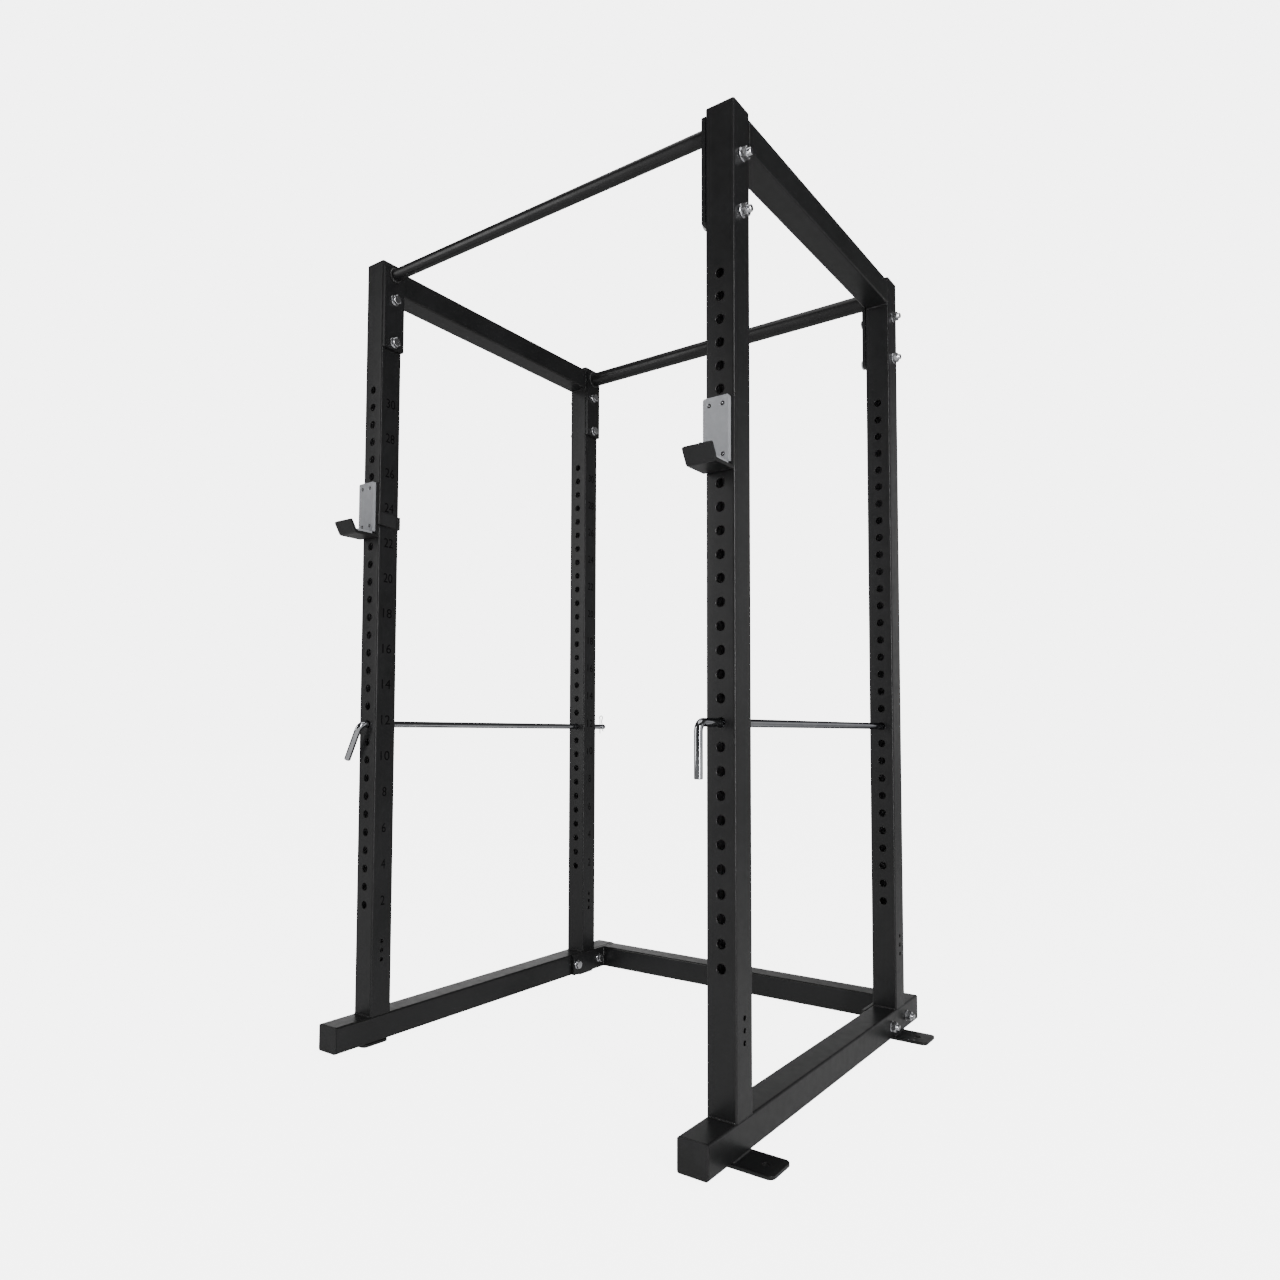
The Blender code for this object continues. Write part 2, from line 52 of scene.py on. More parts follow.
PLASTIC_EDGE = 0.0009
EASE = 0.3                    # where an eased edge's middle lies, as a share of the edge

PIN_HOLE = 0.0105
PIN_HOLE_COUNT = 30
HOLE_PITCH = 0.050
FIRST_HOLE = 0.300
SIDE_HOLE = 0.0055
SIDE_HOLES = (0.200, 0.175, 0.150)

CAP_HEAD = 0.005
CAP_PLUG = 0.020
CAP_RIM = 0.0015
CAP_RIM_DROP = 0.0004         # inner edge of the rolled rim below its crest
CAP_CROWN_DROP = 0.00005
CAP_CROWN_SHARE = 0.6
PLATE_CORNER = 0.005

NUMBER_WIDTHS = (0.014, 0.031)    # one digit, two digits
NUMBER_HEIGHT = 0.026
NUMBER_DROP = 0.038           # middle of a number below its pin hole
PAINT_THICK = 0.00012

HEX_FLATS = 0.024
HEX_LAND = 0.93               # turned land of a hex head, as a share of its flats
HEX_CHAMFER = math.radians(30)
HEAD_HEIGHT = 0.010
NUT_HEIGHT = 0.013
THREAD_END = 0.008            # thread past the nut
THREAD_PITCH = 0.002
THREAD_DEPTH = 0.0007
THREAD_LAST = 0.0022          # last full turn below the tip
BOLT_RADIUS = 0.008
BOLT_TIP = ((0.0003, 0.0015), (0.0016, 0.0))    # narrowing, distance below the tip
WASHER_RADIUS = 0.015
WASHER_THICK = 0.0025
WASHER_EDGE = 0.0004
GRIP = 0.080                  # upright and plate between the washers

WELD_RUNNER = 0.0027          # bead radii
WELD_RAIL = 0.0025
WELD_BAR = 0.0030
WELD_STRAP = 0.0018
SEAM = 0.0009                 # dressed seams on flush sides
CROSSMEMBER_SEAM = 0.0010
WELD_STOP = 0.003             # a bead stops this far short of an edge
SEAM_STOP = 0.002
TAB_WELD_STOP = 0.004
SEAM_SINK = 0.0004            # seam's centre below the flush side
# a bead's centre from the corner that it fills, along or across the face it stands on
FOOT_WELD_OUT = 0.0004
FOOT_WELD_RISE = 0.0006
FOOT_SEAM_RISE = 0.0002
RAIL_WELD_OUT = 0.0005
TAB_WELD_IN = 0.0005
TAB_WELD_RISE = 0.0012
BAR_WELD_OUT = 0.0012
CROSSMEMBER_WELD_OUT = 0.0008
STRAP_WELD_IN = 0.0002
STRAP_WELD_BACK = 0.004
BEAD_STEP = 0.0011
BEAD_RIPPLES = ((0.14, math.pi / 2), (0.08, 0.37))    # share of the radius, turn per step
BEAD_TAPER = (0.35, 0.2)      # share of the radius at an end, and what each step adds

TAB_HOLE = 0.0065
TAB_CORNER = 0.014
TAB_HOLE_INSET = 0.036        # hole centre from the tab's outer end

ROD_RADIUS = 0.009
ROD_BEND = 0.018
ROD_CHAMFER = 0.0014
ROD_END = 0.01                # a ring this far from the rear end keeps the chamfer crisp
ROD_RINGS = (0.66, 0.33)      # further rings, as shares of the length
HANDLE = 0.113                # bent end, from the rod's axis
LEFT_SWING = math.radians(28)
CLIP_RADIUS = 0.0015
CLIP_TIP = 0.6                # share of the radius at the wire's ends
CLIP_RING_RADIUS = 0.007
CLIP_RING_HEIGHT = 0.0335
CLIP_RING_OFFSET = 0.005
CLIP_LEG = (-0.025, -0.0243, -0.012, 0.012)
# the springy leg, as (outward from beside the rod, height)
CLIP_SPRING = ((-0.0035, 0.019), (-0.0034, 0.017), (-0.0030, 0.015), (-0.0018, 0.012),
               (-0.0006, 0.009), (0.0, 0.007), (0.0, 0.0), (0.0, -0.009), (0.0004, -0.011),
               (0.0015, -0.013), (0.0026, -0.015), (0.0040, -0.017))

HOOK_THICK = 0.008
HOOK_BEND = 0.010
LIP_REACH = 0.019
LIP_RISE = 0.034
LIP_CORNER = 0.004
STRAP_THICK = 0.006
STRAP_BEND = 0.007
HOOK_PIN_ROUNDING = 0.0003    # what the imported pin's facets lose of its radius
HOOK_PIN_END = ((0.0, 0.003), (0.0015, 0.001), (0.003, 0.0))    # narrowing, distance below the end
LINER_CORNERS = (0.005, 0.005, 0.0012, 0.0012)
PAD_CORNER = 0.0015
SCREW_OFFSET = 0.016
SCREW_HOLE = 0.0048
SCREW_HEAD = 0.0045
SCREW_SOCKET = 0.0017
SCREW_SINK = 0.0012           # head below the liner's face
SCREW_START = 0.001
SCREW_RISE = (0.011, -0.0955)

SIDES = {"left": -1, "right": 1}
ENDS = {"front": -1, "rear": 1}


# ---------------------------------------------------------------- materials
class Look:
    """A Principled material whose patterns are laid out in metres."""

    def __init__(self, name):
        self.mat = bpy.data.materials.new(name)
        self.mat.use_nodes = True
        self.tree = self.mat.node_tree
        self.shader = self.tree.nodes["Principled BSDF"]
        self.coords = self.tree.nodes.new("ShaderNodeTexCoord").outputs["Object"]

    def set(self, **values):
        for name, value in values.items():
            label = name.replace("_", " ").title().replace("Ior", "IOR")
            self.shader.inputs[label].default_value = value

    def stretched(self, scale):
        node = self.tree.nodes.new("ShaderNodeMapping")
        node.inputs["Scale"].default_value = scale
        self.tree.links.new(self.coords, node.inputs["Vector"])
        return node.outputs["Vector"]

    def noise(self, scale, detail=2.0, roughness=0.5, stretch=None):
        node = self.tree.nodes.new("ShaderNodeTexNoise")
        node.inputs["Scale"].default_value = scale
        node.inputs["Detail"].default_value = detail
        node.inputs["Roughness"].default_value = roughness
        where = self.stretched(stretch) if stretch else self.coords
        self.tree.links.new(where, node.inputs["Vector"])
        return node.outputs["Fac"]

    def cells(self, scale):
        node = self.tree.nodes.new("ShaderNodeTexVoronoi")
        node.feature = "SMOOTH_F1"
        node.inputs["Scale"].default_value = scale
        self.tree.links.new(self.coords, node.inputs["Vector"])
        return node.outputs["Distance"]

    def ramp(self, source, low, high, value_low, value_high):
        node = self.tree.nodes.new("ShaderNodeMapRange")
        node.inputs["From Min"].default_value = low
        node.inputs["From Max"].default_value = high
        node.inputs["To Min"].default_value = value_low
        node.inputs["To Max"].default_value = value_high
        self.tree.links.new(source, node.inputs["Value"])
        return node.outputs["Result"]

    def colours(self, source, low, high, first, last):
        node = self.tree.nodes.new("ShaderNodeValToRGB")
        node.color_ramp.elements[0].position = low
        node.color_ramp.elements[0].color = (*first, 1)
        node.color_ramp.elements[1].position = high
        node.color_ramp.elements[1].color = (*last, 1)
        self.tree.links.new(source, node.inputs["Fac"])
        self.tree.links.new(node.outputs["Color"], self.shader.inputs["Base Color"])

    def rough(self, source, low, high, value_low, value_high):
        result = self.ramp(source, low, high, value_low, value_high)
        self.tree.links.new(result, self.shader.inputs["Roughness"])

    def bump(self, *layers):
        """Each layer is (source, height in metres, strength)."""
        normal = None
        for source, height, strength in layers:
            node = self.tree.nodes.new("ShaderNodeBump")
            node.inputs["Distance"].default_value = height
            node.inputs["Strength"].default_value = strength
            self.tree.links.new(source, node.inputs["Height"])
            if normal:
                self.tree.links.new(normal, node.inputs["Normal"])
            normal = node.outputs["Normal"]
        self.tree.links.new(normal, self.shader.inputs["Normal"])


def powder_coat():
    look = Look("powder_coat")
    look.set(specular_ior_level=0.5)
    look.colours(look.noise(7, 4, 0.6), 0.35, 0.65, (0.0125, 0.0125, 0.013), (0.017, 0.017, 0.018))
    look.rough(look.noise(42, 5, 0.6), 0.3, 0.7, 0.30, 0.39)
    look.bump((look.noise(900, 2, 0.5), 0.00010, 0.16),
              (look.noise(160, 3, 0.5), 0.0002, 0.10))
    return look.mat


def weld_coat():
    look = Look("welded_coat")
    look.set(specular_ior_level=0.6)
    look.colours(look.noise(90, 3), 0.35, 0.65, (0.020, 0.020, 0.021), (0.034, 0.034, 0.035))
    look.rough(look.noise(300, 4), 0.3, 0.7, 0.28, 0.42)
    look.bump((look.noise(700, 3, 0.6), 0.0003, 0.4))
    return look.mat


def zinc_plate():
    look = Look("zinc_plate")
    look.set(metallic=1.0)
    look.colours(look.noise(120, 4, 0.6), 0.3, 0.7, (0.72, 0.73, 0.76), (0.88, 0.88, 0.90))
    look.rough(look.noise(260, 5, 0.6), 0.3, 0.7, 0.15, 0.30)
    look.bump((look.noise(1100, 3), 0.00008, 0.3))
    return look.mat


def chrome_plate():
    look = Look("chrome_plate")
    # The dark specular tint darkens the chrome's reflections towards the rims of the rods and clips:
    # painted shade.
    look.set(metallic=1.0, specular_tint=(0.32, 0.32, 0.34, 1))
    look.colours(look.noise(30, 3), 0.35, 0.65, (0.52, 0.53, 0.56), (0.60, 0.61, 0.63))
    look.rough(look.noise(80, 6, 0.7, stretch=(1, 0.15, 1)), 0.35, 0.75, 0.04, 0.11)
    look.bump((look.noise(60, 2, 0.5, stretch=(1, 0.2, 1)), 0.00006, 0.10))
    return look.mat


def cap_plastic():
    look = Look("cap_plastic")
    look.set(specular_ior_level=0.45)
    look.colours(look.noise(25, 3), 0.35, 0.65, (0.015, 0.015, 0.015), (0.023, 0.023, 0.024))
    look.rough(look.noise(220, 4), 0.3, 0.7, 0.46, 0.60)
    look.bump((look.cells(1500), 0.00010, 0.4))
    return look.mat


def liner_plastic():
    look = Look("liner_plastic")
    look.set(specular_ior_level=0.45)
    look.colours(look.noise(60, 4, 0.6), 0.3, 0.7, (0.41, 0.42, 0.445), (0.46, 0.47, 0.495))
    look.rough(look.noise(140, 4), 0.3, 0.7, 0.42, 0.56)
    look.bump((look.noise(900, 3), 0.00008, 0.35))
    return look.mat


def number_paint():
    look = Look("number_paint")
    look.set(specular_ior_level=0.08)
    look.colours(look.noise(300, 3), 0.3, 0.7,
                 (0.0016, 0.0016, 0.0016), (0.0032, 0.0032, 0.0032))
    look.rough(look.noise(500, 3), 0.3, 0.7, 0.45, 0.60)
    return look.mat


def bare_steel():
    look = Look("bare_steel")
    look.set(specular_ior_level=0.5)
    # Lighter grey than the coat, on the tubes' inner walls that show through the holes.
    look.colours(look.noise(14, 4, 0.6, stretch=(1, 1, 0.2)), 0.3, 0.7,
                 (0.20, 0.20, 0.205), (0.36, 0.36, 0.365))
    look.rough(look.noise(90, 4, 0.6), 0.3, 0.7, 0.45, 0.65)
    look.bump((look.noise(400, 3), 0.0001, 0.3))
    return look.mat


COAT = powder_coat()
WELD = weld_coat()
ZINC = zinc_plate()
CHROME = chrome_plate()
CAP = cap_plastic()
LINER = liner_plastic()
PAINT = number_paint()
INSIDE_GREY = bare_steel()


# ---------------------------------------------------------------- piece making
def piece(name, bm, look, body, replaced=(), sharp=32):
    """Turn a bmesh in the row's frame into a shown piece that rides on a body."""
    bmesh.ops.recalc_face_normals(bm, faces=bm.faces)
    mesh = bpy.data.meshes.new(name)
    bm.to_mesh(mesh)
    bm.free()
    mesh.materials.append(look)
    mesh.shade_smooth()
    mesh.set_sharp_from_angle(angle=math.radians(sharp))
    obj = bpy.data.objects.new(name, mesh)
    bpy.context.scene.collection.objects.link(obj)
    weighted = obj.modifiers.new("normals", "WEIGHTED_NORMAL")
    weighted.keep_sharp = True
    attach(obj, body)
    if replaced:
        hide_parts(*replaced)


def centre(node):
    low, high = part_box(node)
    return (Vector(low) + Vector(high)) / 2


def place(bm, matrix):
    bmesh.ops.transform(bm, matrix=matrix, verts=bm.verts)
    return bm


def aim(axis, origin, roll=0.0):
    """Matrix that takes local +Z to the axis, at the origin."""
    turn = Vector(axis).to_track_quat("Z", "Y").to_matrix().to_4x4()
    return Matrix.Translation(origin) @ turn @ Matrix.Rotation(roll, 4, "Z")


def bridge(bm, low, high):
    for i, vert in enumerate(low):
        j = (i + 1) % len(low)
        bm.faces.new((vert, low[j], high[j], high[i]))


def add_ring(bm, points):
    return [bm.verts.new(p) for p in points]


def fill(bm, loops):
    """Fill a flat region bounded by the first loop, with the other loops as holes."""
    edges = []
    for loop in loops:
        for a, b in zip(loop, loop[1:] + loop[:1]):
            edges.append(bm.edges.get((a, b)) or bm.edges.new((a, b)))
    bmesh.ops.triangle_fill(bm, use_beauty=True, use_dissolve=False, edges=edges)


def rounded(half_u, half_v, radii, steps=5, inset=0.0):
    """Outline of a rounded rectangle, counter-clockwise from the +u +v corner."""
    points = []
    for quarter, radius in enumerate(radii):
        su = 1 if quarter in (0, 3) else -1
        sv = 1 if quarter in (0, 1) else -1
        radius = max(radius, inset)
        middle = (su * (half_u - radius), sv * (half_v - radius))
        for i in range(steps + 1):
            angle = (quarter + i / steps) * math.pi / 2
            reach = radius - inset
            points.append((middle[0] + reach * math.cos(angle),
                           middle[1] + reach * math.sin(angle)))
    return points


def circle(radius, count, at=(0, 0)):
    step = 2 * math.pi / count
    return [(at[0] + radius * math.cos(i * step), at[1] + radius * math.sin(i * step))
            for i in range(count)]


def lift(points, z):
    return [(u, v, z) for u, v in points]


# ---------------------------------------------------------------- tubes
def tube(low, high, pins=(), side_holes=()):
    """Square tube along Z with real walls; pins go through along Y, side_holes along X.

    Both are lists of (z, radius).
    """
    bm = bmesh.new()
    flat = TUBE / 2 - CORNER
    steps = 6
    outer = []
    inner = []
    for quarter in range(4):
        su = 1 if quarter in (0, 3) else -1
        sv = 1 if quarter in (0, 1) else -1
        for i in range(steps + 1):
            angle = (quarter + i / steps) * math.pi / 2
            spoke = Vector((math.cos(angle), math.sin(angle), 0))
            hub = Vector((su * flat, sv * flat, 0))
            outer.append(hub + spoke * CORNER)
            inner.append(hub + spoke * (CORNER - WALL))
    columns = []
    for profile in (outer, inner):
        columns.append([[bm.verts.new(p + Vector((0, 0, z))) for z in (low, high)]
                        for p in profile])
    skin, lining = columns
    count = len(outer)
    for i in range(count):
        j = (i + 1) % count
        if i % (steps + 1) != steps:
            for wall in columns:
                bm.faces.new((wall[i][0], wall[j][0], wall[j][1], wall[i][1]))
        for end in range(2):
            bm.faces.new((skin[i][end], skin[j][end], lining[j][end], lining[i][end]))
    sides = (((0, 1, 0), pins), ((-1, 0, 0), side_holes),
             ((0, -1, 0), pins), ((1, 0, 0), side_holes))
    for quarter, (outward, holes) in enumerate(sides):
        i = quarter * (steps + 1) + steps
        j = (i + 1) % count
        out = Vector(outward)
        along = out.cross(Vector((0, 0, 1)))
        front, back = ([[wall[i][0], wall[j][0], wall[j][1], wall[i][1]]] for wall in columns)
        for z, radius in holes:
            rings = []
            for depth, reach in ((0, radius + EDGE), (EDGE, radius), (WALL, radius)):
                base = out * (TUBE / 2 - depth) + Vector((0, 0, z))
                rings.append(add_ring(bm, [base + along * u + Vector((0, 0, v))
                                           for u, v in circle(reach, 28)]))
            bridge(bm, rings[0], rings[1])
            bridge(bm, rings[1], rings[2])
            front.append(rings[0])
            back.append(rings[2])
        fill(bm, front)
        fill(bm, back)
    return bm


# ---------------------------------------------------------------- flat plates and turned pieces
def slab(outline, low, high, holes=(), edge=EDGE):
    """Plate between two heights with eased edges.

    outline(inset) gives its outline, and holes are (u, v, radius).
    """
    bm = bmesh.new()
    levels = ((low, edge), (low + edge * EASE, edge * EASE), (low + edge, 0), (high - edge, 0),
              (high - edge * EASE, edge * EASE), (high, edge))
    rims = [add_ring(bm, lift(outline(inset), z)) for z, inset in levels]
    for lower, upper in zip(rims, rims[1:]):
        bridge(bm, lower, upper)
    bottom, top = [rims[0]], [rims[-1]]
    for u, v, radius in holes:
        bores = [add_ring(bm, lift(circle(radius + grow, 32, (u, v)), z)) for z, grow in
                 ((low, edge), (low + edge, 0), (high - edge, 0), (high, edge))]
        for lower, upper in zip(bores, bores[1:]):
            bridge(bm, lower, upper)
        bottom.append(bores[0])
        top.append(bores[-1])
    fill(bm, bottom)
    fill(bm, top)
    return bm


def lathe(bm, profile, count=32, at=(0, 0)):
    """Closed turned solid about Z from (radius, z) pairs."""
    rings = [add_ring(bm, lift(circle(radius, count, at), z)) for radius, z in profile]
    for lower, upper in zip(rings, rings[1:]):
        bridge(bm, lower, upper)
    bm.faces.new(list(reversed(rings[0])))
    bm.faces.new(rings[-1])
    return bm


def hex_prism(bm, low, high, direction):
    """Hex head or nut whose far end, in the given direction, has the usual turned chamfer."""
    count = 60
    flat = HEX_FLATS / 2
    land = flat * HEX_LAND
    near, far = (low, high) if direction > 0 else (high, low)
    angles = [2 * math.pi * i / count for i in range(count)]
    reach = [flat / math.cos((a % (math.pi / 3)) - math.pi / 6) for a in angles]
    drop = math.tan(HEX_CHAMFER)
    base = [(r * math.cos(a), r * math.sin(a), near) for a, r in zip(angles, reach)]
    chamfer = [(r * math.cos(a), r * math.sin(a), far - direction * (r - land) * drop)
               for a, r in zip(angles, reach)]
    top = [(land * math.cos(a), land * math.sin(a), far) for a in angles]
    rings = [add_ring(bm, points) for points in (base, chamfer, top)]
    bridge(bm, rings[0], rings[1])
    bridge(bm, rings[1], rings[2])
    bm.faces.new(list(reversed(rings[0])))
    bm.faces.new(rings[2])


def sweep(bm, points, radii, sides=24, closed=False, up=None):
    """Round bar along points; radii may vary from point to point."""
    points = [Vector(p) for p in points]
    count = len(points)
    rings = []
    normal = None
    for i, point in enumerate(points):
        before = points[i - 1] if i or closed else point
        after = points[(i + 1) % count] if i < count - 1 or closed else point
        tangent = (after - before).normalized()
        if normal is None:
            normal = Vector(up) if up else tangent.orthogonal()
        normal = (normal - tangent * normal.dot(tangent)).normalized()
        other = tangent.cross(normal)
        ring = []
        for k in range(sides):
            angle = 2 * math.pi * k / sides
            ring.append(point + radii[i] * (math.cos(angle) * normal + math.sin(angle) * other))
        rings.append(add_ring(bm, ring))
    for a, b in zip(rings, rings[1:] + (rings[:1] if closed else [])):
        bridge(bm, a, b)
    if not closed:
        bm.faces.new(list(reversed(rings[0])))
        bm.faces.new(rings[-1])
    return bm


def arc(middle, radius, start, end, steps):
    return [(middle[0] + radius * math.cos(start + (end - start) * i / steps),
             middle[1] + radius * math.sin(start + (end - start) * i / steps))
            for i in range(steps + 1)]


def even(points, spacing, closed):
    """Resample a polyline at an even spacing."""
    points = [Vector(p) for p in points]
    if closed:
        points.append(points[0])
    lengths = [0.0]
    for a, b in zip(points, points[1:]):
        lengths.append(lengths[-1] + (b - a).length)
    total = lengths[-1]
    count = max(4, round(total / spacing))
    result = []
    k = 0
    for i in range(count if closed else count + 1):
        goal = total * i / count
        while k < len(points) - 2 and lengths[k + 1] < goal:
            k += 1
        span = lengths[k + 1] - lengths[k]
        share = (goal - lengths[k]) / span if span else 0.0
        result.append(points[k].lerp(points[k + 1], share))
    return result


def weld(bm, points, radius, closed=False):
    """Weld bead with the ripple that each puddle leaves."""
    path = even(points, BEAD_STEP, closed)
    count = len(path)
    (puddle, puddle_turn), (wander, wander_turn) = BEAD_RIPPLES
    start, growth = BEAD_TAPER
    radii = []
    for i in range(count):
        ripple = 1 + puddle * math.cos(puddle_turn * i) + wander * math.sin(wander_turn * i)
        taper = 1.0 if closed else min(1.0, start + growth * min(i, count - 1 - i))
        radii.append(radius * ripple * taper)
    sweep(bm, path, radii, 10, closed)


def strip(corners, thickness, bend, steps=8):
    """Outline halves of a strip that turns left at each of its outer corners."""
    corners = [Vector(corner) for corner in corners]

    def left_of(start, end):
        along = (end - start).normalized()
        return Vector((-along.y, along.x)) * thickness

    outer = [corners[0]]
    inner = [corners[0] + left_of(corners[0], corners[1])]
    for before, here, after in zip(corners, corners[1:], corners[2:]):
        to_before = (before - here).normalized()
        to_after = (after - here).normalized()
        half = to_before.angle(to_after) / 2
        hub = here + (to_before + to_after).normalized() * bend / math.sin(half)
        first = here + to_before * bend / math.tan(half) - hub
        for k in range(steps + 1):
            spoke = Matrix.Rotation((math.pi - 2 * half) * k / steps, 2) @ first
            outer.append(hub + spoke)
            inner.append(hub + spoke * (bend - thickness) / bend)
    outer.append(corners[-1])
    inner.append(corners[-1] + left_of(corners[-2], corners[-1]))
    return outer, inner


def folded(outer, inner, low, high, end_corner=0.0):
    """Bent flat bar: the strip runs in the local XY plane and its width lies along Z."""
    bm = bmesh.new()
    rings = []
    for z in (low, high):
        rings.append([[bm.verts.new((p.x, p.y, z)) for p in half] for half in (outer, inner)])
    for skin, lining in rings:
        for i in range(len(skin) - 1):
            bm.faces.new((skin[i], skin[i + 1], lining[i + 1], lining[i]))
    for bottom, top in zip(*rings):
        for i in range(len(outer) - 1):
            bm.faces.new((bottom[i], bottom[i + 1], top[i + 1], top[i]))
    for i in (0, -1):
        bm.faces.new((rings[0][0][i], rings[0][1][i], rings[1][1][i], rings[1][0][i]))
    bmesh.ops.recalc_face_normals(bm, faces=bm.faces)
    if end_corner:
        pairs = [bm.edges.get((skin[-1], lining[-1])) for skin, lining in rings]
        bmesh.ops.bevel(bm, geom=pairs, offset=end_corner, segments=5, profile=0.5, affect="EDGES")
    sharp = [e for e in bm.edges
             if len(e.link_faces) == 2 and e.calc_face_angle(0) > math.radians(50)]
    bmesh.ops.bevel(bm, geom=sharp, offset=EDGE, segments=2, profile=0.5, affect="EDGES")
    return bm


# ---------------------------------------------------------------- welded side frames
def make_uprights():
    for side_name in SIDES:
        for end_name in ENDS:
            node = f"{side_name}_{end_name}_upright"
            low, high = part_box(node)
            middle = centre(node)
            base = low[2] - GAP
            pins = [(base + FIRST_HOLE + n * HOLE_PITCH, PIN_HOLE) for n in range(PIN_HOLE_COUNT)]
            small = [(base + rise, SIDE_HOLE) for rise in SIDE_HOLES]
            bm = tube(low[2], high[2], pins, small)
            lining = bm.copy()
            for part, wanted in ((bm, False), (lining, True)):
                others = [face for face in part.faces if is_lining(face) != wanted]
                bmesh.ops.delete(part, geom=others, context="FACES")
                place(part, Matrix.Translation((middle.x, middle.y, 0)))
            piece(f"{node}_tube", bm, COAT, "frame", [node])
            piece(f"{node}_inside", lining, INSIDE_GREY, "frame")


def is_lining(face):
    """Whether a face of a tube along Z is on its inner walls."""
    spot = face.calc_center_median()
    return max(abs(spot.x), abs(spot.y)) < TUBE / 2 - WALL + GAP


def make_straight_tube(node, axis):
    low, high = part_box(node)
    index = "XYZ".index(axis)
    reach = (high[index] - low[index]) / 2
    quarter = math.pi / 2
    turn = {"X": Matrix.Rotation(quarter, 4, "Y"), "Y": Matrix.Rotation(-quarter, 4, "X")}[axis]
    bm = place(tube(-reach, reach), Matrix.Translation(centre(node)) @ turn)
    piece(f"{node}_tube", bm, COAT, "frame", [node])


def make_cap(node, axis):
    """End cap: plug, seam, and a head with a rolled rim and a barely crowned top."""

    def outline(inset):
        return rounded(TUBE / 2, TUBE / 2, [CORNER] * 4, 6, inset)

    shoulder = CAP_HEAD - CAP_RIM
    levels = [(-CAP_PLUG, WALL + GAP), (GAP, WALL + GAP), (GAP, EDGE), (GAP + EDGE, 0),
              (shoulder, 0)]
    for quarter in (1, 2, 3, 4):
        turn = quarter * math.pi / 8
        inward = 1 - math.cos(turn)
        rise = CAP_RIM * math.sin(turn) - CAP_RIM_DROP * inward
        levels.append((shoulder + rise, CAP_RIM * inward))
    bm = bmesh.new()
    rings = [add_ring(bm, lift(outline(inset), z)) for z, inset in levels]
    crown = [(x * CAP_CROWN_SHARE, y * CAP_CROWN_SHARE, CAP_HEAD - CAP_CROWN_DROP)
             for x, y in outline(CAP_RIM)]
    rings.append(add_ring(bm, crown))
    for lower, upper in zip(rings, rings[1:]):
        bridge(bm, lower, upper)
    bm.faces.new(list(reversed(rings[0])))
    bm.faces.new(rings[-1])
    seat = centre(node) - Vector(axis) * ((CAP_HEAD - CAP_PLUG) / 2)
    piece(f"{node}_moulding", place(bm, aim(axis, seat)), CAP, "frame", [node])


def make_tab(node, side):
    low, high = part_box(node)
    middle = centre(node)
    half_x = (high[0] - low[0]) / 2
    half_y = (high[1] - low[1]) / 2
    hole = (side * (half_x - TAB_HOLE_INSET), 0, TAB_HOLE)
    bm = slab(lambda inset: rounded(half_x, half_y, [TAB_CORNER] * 4, 8, inset),
              low[2], high[2], [hole], PLATE_EDGE)
    place(bm, Matrix.Translation((middle.x, middle.y, 0)))
    piece(f"{node}_plate", bm, COAT, "frame", [node])


def make_side_welds(side_name, side):
    """Fillets at the uprights' feet, the rail ends and the tabs, and seams on the flush sides."""
    bm = bmesh.new()
    runner_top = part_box(f"{side_name}_base_runner")[1][2]
    rail_low, rail_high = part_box(f"{side_name}_top_rail")
    x = side * abs(centre(f"{side_name}_top_rail").x)
    half = TUBE / 2
    inner_end, outer_end = x - half + WELD_STOP, x + half - WELD_STOP
    for end_name, end in ENDS.items():
        y = centre(f"{side_name}_{end_name}_upright").y
        foot = runner_top + FOOT_WELD_RISE
        seam = runner_top + FOOT_SEAM_RISE
        for edge in (-1, 1):
            beside = y + edge * (half + FOOT_WELD_OUT)
            weld(bm, [(inner_end, beside, foot), (outer_end, beside, foot)], WELD_RUNNER)
            flush = x + edge * (half - SEAM_SINK)
            weld(bm, [(flush, y - half + SEAM_STOP, seam), (flush, y + half - SEAM_STOP, seam)],
                 SEAM)
        face = y - end * (half + RAIL_WELD_OUT)
        for height in (rail_low[2], rail_high[2]):
            weld(bm, [(inner_end, face, height), (outer_end, face, height)], WELD_RAIL)
        for edge in (-1, 1):
            flush = x + edge * (half - SEAM_SINK)
            weld(bm, [(flush, face + end * GAP, rail_low[2] + WELD_STOP),
                      (flush, face + end * GAP, rail_high[2] - WELD_STOP)], SEAM)
        tab_low, tab_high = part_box(f"{side_name}_{end_name}_anchor_tab")
        toe = x + side * (half - TAB_WELD_IN)
        top = tab_high[2] + TAB_WELD_RISE
        weld(bm, [(toe, tab_low[1] + TAB_WELD_STOP, top), (toe, tab_high[1] - TAB_WELD_STOP, top)],
             WELD_RAIL)
    piece(f"{side_name}_frame_welds", bm, WELD, "frame")


